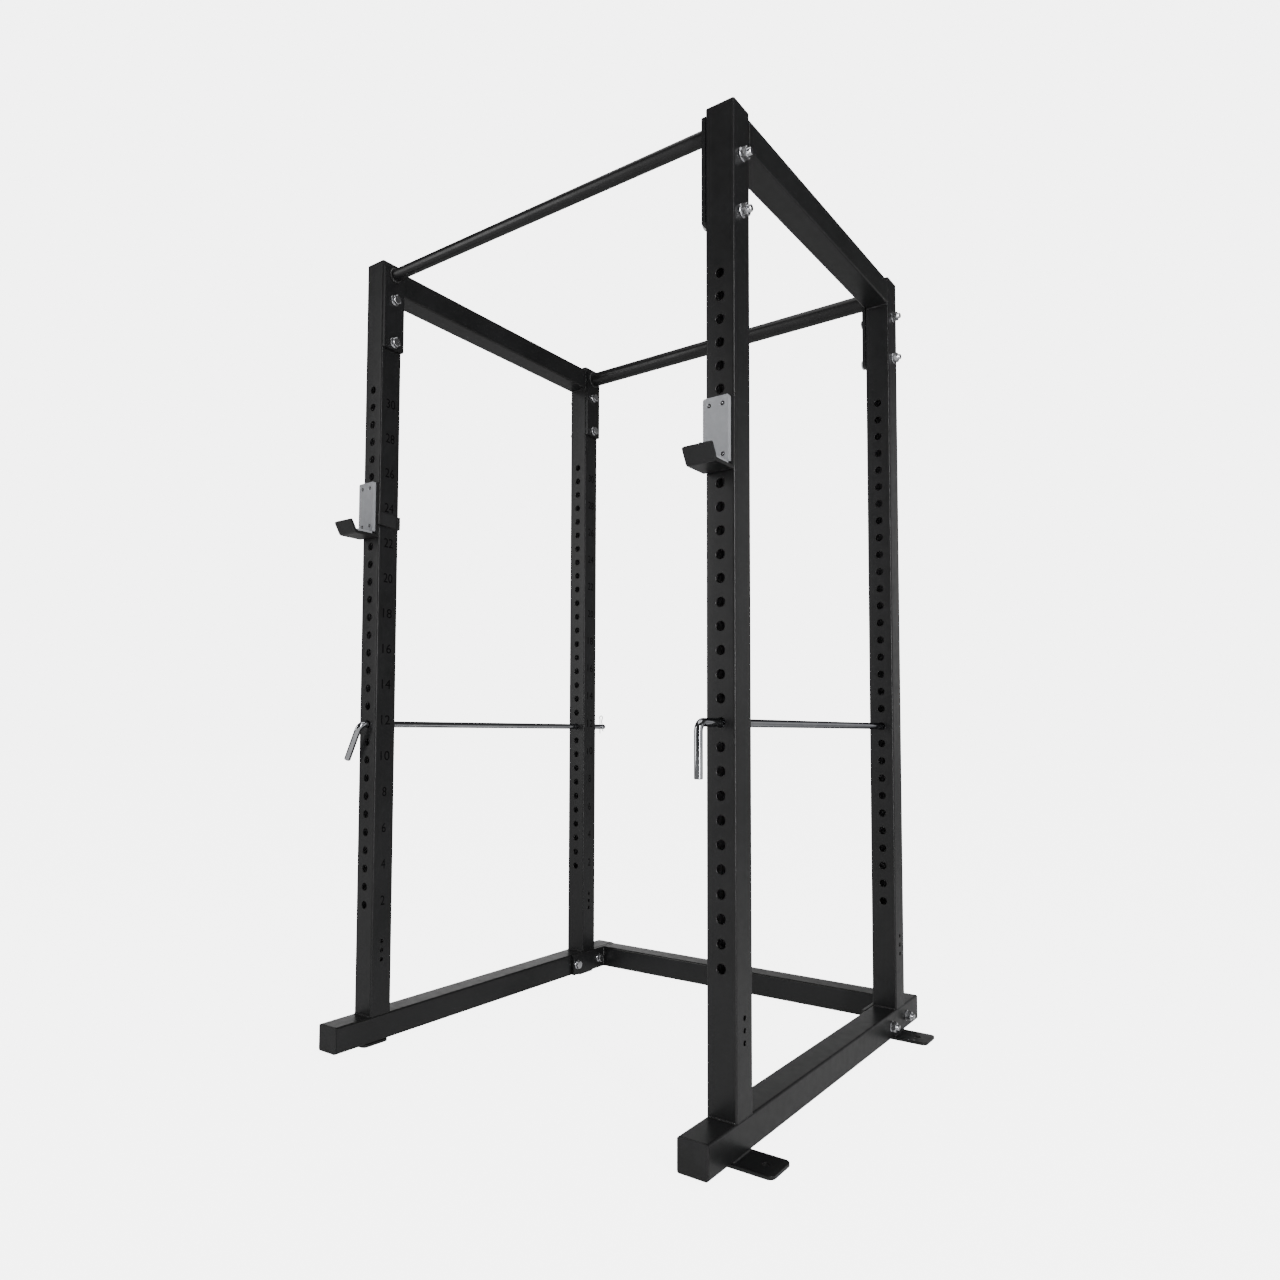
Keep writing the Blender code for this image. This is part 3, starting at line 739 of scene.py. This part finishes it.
def make_numbers(side_name, side):
    """Position numbers on the uprights' inner faces, even ones from 2 to 30."""
    for end_name in ENDS:
        node = f"{side_name}_{end_name}_upright"
        middle = centre(node)
        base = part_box(node)[0][2] - GAP
        bm = bmesh.new()
        for number in range(2, PIN_HOLE_COUNT + 1, 2):
            curve = bpy.data.curves.new("number", "FONT")
            curve.body = str(number)
            curve.resolution_u = 4
            guide = bpy.data.objects.new("number_guide", curve)
            mesh = bpy.data.meshes.new_from_object(guide)
            xs = [v.co.x for v in mesh.vertices]
            ys = [v.co.y for v in mesh.vertices]
            width = NUMBER_WIDTHS[len(curve.body) - 1]
            scale = (width / (max(xs) - min(xs)), NUMBER_HEIGHT / (max(ys) - min(ys)))
            shift = ((max(xs) + min(xs)) / 2, (max(ys) + min(ys)) / 2)
            height = base + FIRST_HOLE + (number - 1) * HOLE_PITCH - NUMBER_DROP
            for v in mesh.vertices:
                u = (v.co.x - shift[0]) * scale[0]
                w = (v.co.y - shift[1]) * scale[1]
                v.co = (middle.x - side * (TUBE / 2 + PAINT_THICK), middle.y - side * u, height + w)
            bm.from_mesh(mesh)
            bpy.data.objects.remove(guide)
            bpy.data.meshes.remove(mesh)
        piece(f"{node}_numbers", bm, PAINT, "frame")


# ---------------------------------------------------------------- bolted cross pieces
def make_plate(node):
    low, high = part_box(node)
    middle = centre(node)
    half_y = (high[1] - low[1]) / 2
    half_z = (high[2] - low[2]) / 2
    half_t = (high[0] - low[0]) / 2
    bm = slab(lambda inset: rounded(half_y, half_z, [PLATE_CORNER] * 4, 6, inset),
              -half_t, half_t, (), PLATE_EDGE)
    # outline plane: u is Y, v is Z, height towards +X
    turn = Matrix(((0, 0, 1, 0), (1, 0, 0, 0), (0, 1, 0, 0), (0, 0, 0, 1)))
    piece(f"{node}_flat", place(bm, Matrix.Translation(middle) @ turn), COAT, "frame", [node])


def make_bolt(node, side, roll):
    """Bolt, two washers and a nut; local Z runs from the head, outwards, with the grip from 0."""
    low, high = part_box(node)
    middle = centre(node)
    face = (low[0] if side > 0 else high[0]) + side * (HEAD_HEIGHT + WASHER_THICK + GAP)
    bm = bmesh.new()
    seat = -GAP - WASHER_THICK
    nut = GRIP + GAP + WASHER_THICK
    hex_prism(bm, seat - HEAD_HEIGHT, seat, -1)
    for start in (seat, GRIP + GAP):
        lathe(bm, [(WASHER_RADIUS - WASHER_EDGE, start), (WASHER_RADIUS, start + WASHER_EDGE),
                   (WASHER_RADIUS, start + WASHER_THICK - WASHER_EDGE),
                   (WASHER_RADIUS - WASHER_EDGE, start + WASHER_THICK)], 40)
    hex_prism(bm, nut, nut + NUT_HEIGHT, 1)
    thread = [(BOLT_RADIUS, -GAP)]
    z = nut + NUT_HEIGHT - THREAD_PITCH / 2
    tip = nut + NUT_HEIGHT + THREAD_END
    while z < tip - THREAD_LAST:
        thread += [(BOLT_RADIUS, z), (BOLT_RADIUS - THREAD_DEPTH, z + THREAD_PITCH / 2)]
        z += THREAD_PITCH
    thread += [(BOLT_RADIUS - narrower, tip - below) for narrower, below in BOLT_TIP]
    lathe(bm, thread, 32)
    matrix = aim((side, 0, 0), (face, middle.y, middle.z), roll)
    piece(f"{node}_set", place(bm, matrix), ZINC, "frame", [node], sharp=28)


def make_bar(end_name):
    node = f"{end_name}_pull_up_bar"
    low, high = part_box(node)
    middle = centre(node)
    radius = (high[1] - low[1]) / 2
    bm = bmesh.new()
    lathe(bm, [(radius, low[0]), (radius, high[0])], 48)
    piece(f"{node}_tube", place(bm, aim((1, 0, 0), (0, middle.y, middle.z))), COAT, "frame", [node])
    welds = bmesh.new()
    for end in (low[0], high[0]):
        inside = end - math.copysign(BAR_WELD_OUT, end)
        ring = [(inside, middle.y + v, middle.z + w) for v, w in circle(radius + BAR_WELD_OUT, 72)]
        weld(welds, ring, WELD_BAR, closed=True)
    piece(f"{end_name}_bar_welds", welds, WELD, "frame")


def make_crossmember_welds():
    low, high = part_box("rear_crossmember")
    bm = bmesh.new()
    for end in (low[0], high[0]):
        inside = end - math.copysign(CROSSMEMBER_WELD_OUT, end)
        front = low[1] - FOOT_WELD_OUT
        weld(bm, [(inside, front, low[2] + WELD_STOP), (inside, front, high[2] - WELD_STOP)],
             WELD_RUNNER)
        for z in (low[2] + SEAM_SINK, high[2] - SEAM_SINK):
            weld(bm, [(inside, low[1] + SEAM_STOP, z), (inside, high[1] - SEAM_STOP, z)],
                 CROSSMEMBER_SEAM)
    piece("crossmember_welds", bm, WELD, "frame")


# ---------------------------------------------------------------- safety rods and clips
def make_rod(side_name, side, swing):
    """Rod with its handle swung about its own axis, and the clip through its rear end."""
    node = f"{side_name}_safety_rod"
    low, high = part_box(node)
    x = side * abs(centre(f"{side_name}_front_upright").x)
    pivot = Vector((x, low[1] + ROD_RADIUS, high[2] - ROD_RADIUS))
    length = high[1] - pivot.y
    path = [(length - back, 0) for back in (0, ROD_CHAMFER, ROD_END)]
    path += [(length * share, 0) for share in ROD_RINGS]
    path += arc((ROD_BEND, -ROD_BEND), ROD_BEND, math.pi / 2, math.pi, 20)
    path += [(0, -drop) for drop in (HANDLE / 2, HANDLE - ROD_CHAMFER, HANDLE)]
    points = [pivot + Vector((w * math.sin(swing), v, w * math.cos(swing))) for v, w in path]
    radii = [ROD_RADIUS] * len(points)
    radii[0] = radii[-1] = ROD_RADIUS - ROD_CHAMFER
    bm = sweep(bmesh.new(), points, radii, 32)
    piece(f"{node}_bar", bm, CHROME, f"{side_name}_rod", [node], sharp=38)

    node = f"{side_name}_rod_clip"
    origin = Vector((pivot.x, centre(node).y, pivot.z))
    lean = math.acos(CLIP_RING_OFFSET / CLIP_RING_RADIUS)
    ring = arc((CLIP_RING_OFFSET, CLIP_RING_HEIGHT), CLIP_RING_RADIUS, math.pi + lean, -lean, 28)
    beside = ROD_RADIUS + CLIP_RADIUS + 2 * GAP
    flat = [(0, w) for w in CLIP_LEG] + ring + [(beside + u, w) for u, w in CLIP_SPRING]
    points = [origin + Vector((u, 0, w)) for u, w in flat]
    radii = [CLIP_RADIUS] * len(points)
    radii[0] = radii[-1] = CLIP_RADIUS * CLIP_TIP
    bm = sweep(bmesh.new(), points, radii, 14, up=(0, 1, 0))
    piece(f"{node}_wire", bm, CHROME, f"{side_name}_clip", [node], sharp=45)


# ---------------------------------------------------------------- J-hooks
def make_hook(side_name, side):
    body = f"{side_name}_hook"
    make_hook_metal(body, side)
    make_hook_plastic(body)


def make_hook_metal(body, side):
    """Bent plate, strap round the upright, the weld between them, and the pin."""
    plate_low, plate_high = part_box(f"{body}_plate")
    middle = centre(f"{body}_pin")
    half = (plate_high[0] - plate_low[0]) / 2
    back = plate_high[1]
    front = plate_low[1] + LIP_REACH
    corners = [(-back, plate_high[2]), (-back, plate_low[2]), (-front, plate_low[2]),
               (-plate_low[1], plate_low[2] + LIP_RISE)]
    outer, inner = strip(corners, HOOK_THICK, HOOK_BEND)
    bm = folded(outer, inner, -half, half, LIP_CORNER)
    # strip plane: u is -Y, v is Z; width along X
    turn = Matrix(((0, 0, 1, middle.x), (-1, 0, 0, 0), (0, 1, 0, 0), (0, 0, 0, 1)))
    piece(f"{body}_bent_plate", place(bm, turn), COAT, body, [f"{body}_plate"])

    strap_low, strap_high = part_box(f"{body}_strap")
    inside = abs(strap_low[0] if side > 0 else strap_high[0]) - middle.x * side
    reach = strap_high[0] - strap_low[0]
    corners = [(-inside - reach, strap_high[1]), (-inside, strap_high[1]), (-inside, strap_low[1])]
    outer, inner = strip(corners, STRAP_THICK, STRAP_BEND)
    bm = folded(outer, inner, strap_low[2], strap_high[2])
    place(bm, Matrix.Translation((middle.x, 0, 0)) @ Matrix.Diagonal((-side, 1, 1, 1)))
    piece(f"{body}_bent_strap", bm, COAT, body, [f"{body}_strap"])

    bm = bmesh.new()
    toe = (middle.x - side * (TUBE / 2 - STRAP_WELD_IN), back - STRAP_WELD_BACK)
    weld(bm, [(*toe, strap_low[2] + WELD_STOP), (*toe, strap_high[2] - WELD_STOP)], WELD_STRAP)
    piece(f"{body}_weld", bm, WELD, body)

    pin_low, pin_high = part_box(f"{body}_pin")
    radius = (pin_high[0] - pin_low[0]) / 2 + HOOK_PIN_ROUNDING
    depth = pin_high[1] - pin_low[1]
    profile = [(radius, 0)]
    profile += [(radius - narrower, depth - below) for narrower, below in HOOK_PIN_END]
    bm = lathe(bmesh.new(), profile, 40)
    place(bm, aim((0, 1, 0), (middle.x, pin_low[1], middle.z)))
    piece(f"{body}_pin_stub", bm, ZINC, body, [f"{body}_pin"])


def make_hook_plastic(body):
    """Liner with its four screws, and the pad on the shelf. Each screw head is coat-black, painted
    shade for the shadow round it in its hole, under a small zinc disc.
    """
    pin = centre(f"{body}_pin")
    low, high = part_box(f"{body}_liner")
    half_x = (high[0] - low[0]) / 2
    half_z = (high[2] - low[2]) / 2
    mid_z = (high[2] + low[2]) / 2
    thick = high[1] - low[1]
    spots = [(sx * SCREW_OFFSET, pin.z + rise - mid_z) for sx in (-1, 1) for rise in SCREW_RISE]
    holes = [(u, v, SCREW_HOLE) for u, v in spots]
    bm = slab(lambda inset: rounded(half_x, half_z, LINER_CORNERS, 6, inset),
              0, thick, holes, PLASTIC_EDGE)
    # outline plane: u is X, v is Z, height towards the front
    face = Matrix(((1, 0, 0, pin.x), (0, 0, -1, high[1]), (0, 1, 0, mid_z), (0, 0, 0, 1)))
    piece(f"{body}_liner_sheet", place(bm, face), LINER, body, [f"{body}_liner"])

    # Screw heads in coat black: painted shade for the shadow in the liner's screw holes; the zinc
    # discs on them show the screws' metal.
    painted_shade_heads = bmesh.new()
    sockets = bmesh.new()
    seat = thick - SCREW_SINK
    for spot in spots:
        lathe(painted_shade_heads, [(SCREW_HEAD, SCREW_START), (SCREW_HEAD, seat - EDGE),
                      (SCREW_HEAD - EDGE, seat)], 24, spot)
        lathe(sockets, [(SCREW_SOCKET, seat + GAP), (SCREW_SOCKET - GAP, seat + 2 * GAP)], 16, spot)
    piece(f"{body}_liner_screw_painted_shade", place(painted_shade_heads, face), COAT, body)
    piece(f"{body}_liner_screw_sockets", place(sockets, face), ZINC, body)

    low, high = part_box(f"{body}_pad")
    half_y = (high[1] - low[1]) / 2
    bm = slab(lambda inset: rounded(half_x, half_y, [PAD_CORNER] * 4, 4, inset),
              low[2], high[2], (), PLASTIC_EDGE)
    place(bm, Matrix.Translation((pin.x, centre(f"{body}_pad").y, 0)))
    piece(f"{body}_shelf_pad", bm, LINER, body, [f"{body}_pad"])


# ---------------------------------------------------------------- the cage
make_uprights()
for side_name, side in SIDES.items():
    make_straight_tube(f"{side_name}_base_runner", "Y")
    make_straight_tube(f"{side_name}_top_rail", "Y")
    make_side_welds(side_name, side)
    make_numbers(side_name, side)
    make_plate(f"crossmember_{side_name}_plate")
    for end_name, end in ENDS.items():
        make_cap(f"{side_name}_{end_name}_upright_cap", (0, 0, 1))
        make_cap(f"{side_name}_{end_name}_runner_cap", (0, end, 0))
        make_tab(f"{side_name}_{end_name}_anchor_tab", side)
        make_plate(f"{end_name}_bar_{side_name}_plate")
        # each bolt is turned a little differently
        make_bolt(f"{end_name}_bar_{side_name}_lower_bolt", side, 0.2 + 0.4 * (end + side))
        make_bolt(f"{end_name}_bar_{side_name}_upper_bolt", side, 0.5 + 0.3 * (end - side))
        make_bolt(f"crossmember_{side_name}_{end_name}_bolt", side, 0.35 * (end + 2 * side))
for end_name in ENDS:
    make_bar(end_name)
make_straight_tube("rear_crossmember", "X")
make_crossmember_welds()
make_rod("left", -1, LEFT_SWING)
make_rod("right", 1, 0.0)
for side_name, side in SIDES.items():
    make_hook(side_name, side)


# ---------------------------------------------------------------- studio
WHITE = 5.5                   # radiance of floor and background as the camera sees them
FLOOR_GLOW = 0.18             # radiance of the floor as a light source, besides what it returns
DARK = 0.06
# each is (direction of its middle, cosine where it starts, cosine where it is full, radiance)
PATCHES = (((-0.50, 0.866, 0.0), 0.20, 0.75, 0.72),
           ((-0.73, 0.63, 0.22), 0.90, 0.985, 0.80))
PATCH_TOP = (0.24, 0.42)      # rise at which they start to fade, and at which they end
FLOOR_HALF = 30
FLOOR_DROP = 0.0005           # floor's top below the runners

# each is (name, place, aim, width, height, watts)
SOFTBOXES = (("top_box", (0.4, -0.3, 4.6), (0, 0, 1.0), 3.5, 3.5, 45),
             ("right_box", (4.2, 0.6, 1.4), (0, 0, 0.9), 2.4, 2.4, 10),
             ("edge_box", (3.8, -2.3, 1.9), (0.5, -0.4, 1.2), 0.45, 3.4, 105),
             ("left_box", (-3.2, -4.4, 2.3), (0, 0, 1.2), 1.1, 3.4, 62))

LENS = 25.389
SENSOR = 36
SHIFT = (0.01502, 0.03591)
CAMERA_PLACE = (1.49304, -2.12433, 0.85727)
CAMERA_TURN = (36.0527, 2.9427, 0.2026)    # yaw to the left, pitch up and roll, in degrees


def make_floor():
    """Pale floor, white to the camera and dimmer as a light source."""
    look = Look("studio_floor")
    look.set(roughness=0.9, specular_ior_level=0.1)
    look.colours(look.noise(0.8, 2), 0.2, 0.8, (0.78, 0.78, 0.78), (0.80, 0.80, 0.80))
    look.shader.inputs["Emission Color"].default_value = (1, 1, 1, 1)
    path = look.tree.nodes.new("ShaderNodeLightPath")
    glow = look.ramp(path.outputs["Is Camera Ray"], 0, 1, FLOOR_GLOW, WHITE)
    look.tree.links.new(glow, look.shader.inputs["Emission Strength"])
    bm = bmesh.new()
    bmesh.ops.create_grid(bm, x_segments=8, y_segments=8, size=FLOOR_HALF)
    mesh = bpy.data.meshes.new("studio_floor")
    bm.to_mesh(mesh)
    bm.free()
    mesh.materials.append(look.mat)
    floor = bpy.data.objects.new("studio_floor", mesh)
    floor.location = (0, 0, -FLOOR_DROP)
    bpy.context.scene.collection.objects.link(floor)


def add_softbox(name, spot, target, width, height, power):
    light = bpy.data.lights.new(name, "AREA")
    light.shape = "RECTANGLE"
    light.size = width
    light.size_y = height
    light.energy = power
    obj = bpy.data.objects.new(name, light)
    obj.location = spot
    obj.rotation_euler = (Vector(target) - Vector(spot)).to_track_quat("-Z", "Y").to_euler()
    bpy.context.scene.collection.objects.link(obj)


def make_world():
    """White to the camera; everything else meets a dark studio with a lit backdrop at its rear."""
    world = bpy.data.worlds.new("studio")
    bpy.context.scene.world = world
    world.use_nodes = True
    tree = world.node_tree
    tree.nodes.clear()
    out = tree.nodes.new("ShaderNodeOutputWorld")
    mix = tree.nodes.new("ShaderNodeMixShader")
    path = tree.nodes.new("ShaderNodeLightPath")
    white = tree.nodes.new("ShaderNodeBackground")
    white.inputs["Color"].default_value = (1, 1, 1, 1)
    white.inputs["Strength"].default_value = WHITE
    studio = tree.nodes.new("ShaderNodeBackground")
    coords = tree.nodes.new("ShaderNodeTexCoord")
    parts = tree.nodes.new("ShaderNodeSeparateXYZ")
    link = tree.links.new
    link(coords.outputs["Generated"], parts.inputs[0])

    def ramp(source, first, last, top):
        node = tree.nodes.new("ShaderNodeMapRange")
        node.interpolation_type = "SMOOTHSTEP"
        node.inputs["From Min"].default_value = first
        node.inputs["From Max"].default_value = last
        node.inputs["To Min"].default_value = 0.0
        node.inputs["To Max"].default_value = top
        link(source, node.inputs["Value"])
        return node.outputs["Result"]

    def combine(operation, first, second):
        node = tree.nodes.new("ShaderNodeMath")
        node.operation = operation
        for socket, value in zip(node.inputs, (first, second)):
            if isinstance(value, float):
                socket.default_value = value
            else:
                link(value, socket)
        return node.outputs["Value"]

    total = DARK
    below_top = combine("SUBTRACT", 1.0, ramp(parts.outputs["Z"], *PATCH_TOP, 1.0))
    for direction, start, full, radiance in PATCHES:
        facing = tree.nodes.new("ShaderNodeVectorMath")
        facing.operation = "DOT_PRODUCT"
        facing.inputs[1].default_value = direction
        link(coords.outputs["Generated"], facing.inputs[0])
        lit = combine("MULTIPLY", ramp(facing.outputs["Value"], start, full, radiance), below_top)
        total = combine("ADD", lit, total)
    link(total, studio.inputs["Strength"])
    link(path.outputs["Is Camera Ray"], mix.inputs["Fac"])
    link(studio.outputs[0], mix.inputs[1])
    link(white.outputs[0], mix.inputs[2])
    link(mix.outputs[0], out.inputs["Surface"])


def make_camera():
    camera = bpy.data.cameras.new("camera")
    camera.lens = LENS
    camera.sensor_width = SENSOR
    camera.shift_x, camera.shift_y = SHIFT
    camera.clip_end = 100
    yaw, pitch, roll = (math.radians(angle) for angle in CAMERA_TURN)
    ahead = Vector((-math.sin(yaw) * math.cos(pitch), math.cos(yaw) * math.cos(pitch),
                    math.sin(pitch)))
    level = Vector((math.cos(yaw), math.sin(yaw), 0))
    upright = level.cross(ahead)
    right = level * math.cos(roll) + upright * math.sin(roll)
    up = upright * math.cos(roll) - level * math.sin(roll)
    obj = bpy.data.objects.new("camera", camera)
    matrix = Matrix((right, up, -ahead)).transposed().to_4x4()
    matrix.translation = CAMERA_PLACE
    obj.matrix_world = matrix
    bpy.context.scene.collection.objects.link(obj)
    bpy.context.scene.camera = obj


make_floor()
make_world()
for softbox in SOFTBOXES:
    add_softbox(*softbox)
make_camera()
